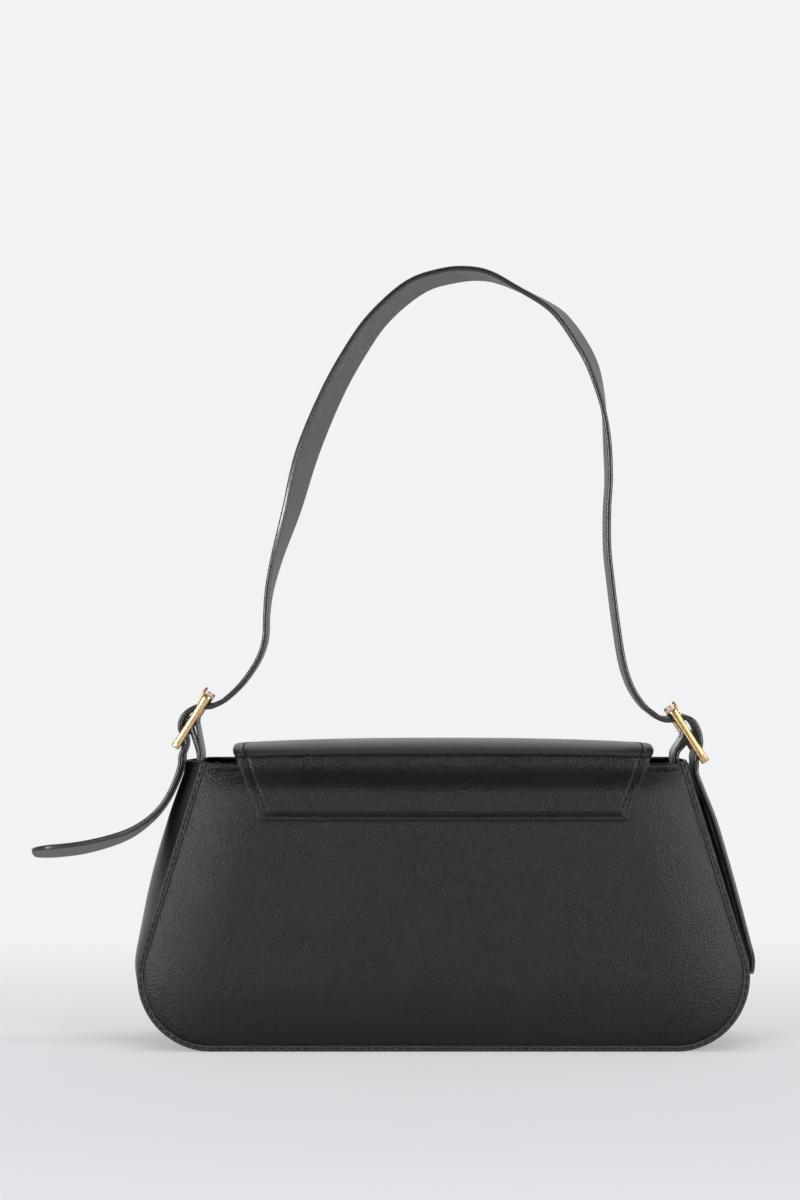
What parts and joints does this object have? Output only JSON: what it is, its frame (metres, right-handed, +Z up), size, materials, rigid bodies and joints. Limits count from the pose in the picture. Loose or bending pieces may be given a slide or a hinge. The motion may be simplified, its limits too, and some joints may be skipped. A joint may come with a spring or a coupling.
{
  "type": "baguette bag",
  "caption": "Small baguette shoulder bag with a fold-over snap flap and a strap that threads through a buckle at each end.",
  "frame": {"origin": "centre of the base on the ground", "axes": "+Z up; +X to the right in the picture; the back of the bag faces -Y and the front, under the flap, faces +Y"},
  "size_m": [0.3381, 0.0683, 0.3629],
  "materials": {
    "leather": "smooth fine-grained black leather with a soft sheen",
    "binding": "thin black leather strip, stitched through",
    "strap_leather": "black strap leather with glossy painted edges",
    "strap_back": "dark grey smooth backing leather",
    "board": "pressed fibre board, hidden between layers",
    "lining": "charcoal woven lining",
    "flap_lining": "thin matte black lining leather",
    "gold_metal": "polished pale gold plating",
    "steel": "plain stamped steel"
  },
  "bodies": {
    "bag": {"back_panel": "leather", "front_panel": "leather", "gusset": "leather", "back_binding": "binding", "front_binding": "binding", "back_board": "board", "front_board": "board", "base_board": "board", "back_facing": "leather", "front_facing": "leather", "back_lining": "lining", "front_lining": "lining", "gusset_lining": "lining", "inner_pocket": "lining", "flap_back": "leather", "snap_magnet": "gold_metal", "snap_magnet_washer": "steel", "left_strap_end": "strap_leather", "right_strap_end": "strap_leather", "left_tab_base": "leather", "right_tab_base": "leather"},
    "flap": {"flap_top": "leather", "flap_top_lining": "flap_lining"},
    "flap_front": {"flap_front": "leather", "flap_board": "board", "flap_front_lining": "flap_lining", "snap_plate": "gold_metal", "snap_plate_washer": "steel"},
    "strap": {"strap": "strap_leather", "strap_backing": "strap_back", "left_tab": "leather", "right_tab": "leather", "left_buckle_frame": "gold_metal", "right_buckle_frame": "gold_metal", "left_buckle_bar": "gold_metal", "right_buckle_bar": "gold_metal"},
    "left_prong": {"left_prong": "gold_metal"},
    "right_prong": {"right_prong": "gold_metal"}
  },
  "joints": [
    {"name": "flap_open", "type": "hinge", "parent": "bag", "child": "flap", "pos_m": [0, -0.02653, 0.1333], "axis": [1, 0, 0], "range_deg": [0, 150]},
    {"name": "flap_unfold", "type": "hinge", "parent": "flap", "child": "flap_front", "pos_m": [0, 0.02903, 0.13754], "axis": [1, 0, 0], "range_deg": [0, 80]},
    {"name": "strap_swing", "type": "hinge", "parent": "bag", "child": "strap", "pos_m": [0, 0, 0.136], "axis": [1, 0, 0], "range_deg": [-30, 30]},
    {"name": "left_prong_lift", "type": "hinge", "parent": "strap", "child": "left_prong", "pos_m": [-0.1169, 0, 0.1506], "axis": [0, -1, 0], "range_deg": [0, 30]},
    {"name": "right_prong_lift", "type": "hinge", "parent": "strap", "child": "right_prong", "pos_m": [0.1144, 0, 0.1439], "axis": [0, 1, 0], "range_deg": [0, 30]}
  ],
  "couplings": [
    {"joint": "flap_unfold", "follows": "flap_open", "ratio": 0.5333}
  ]
}
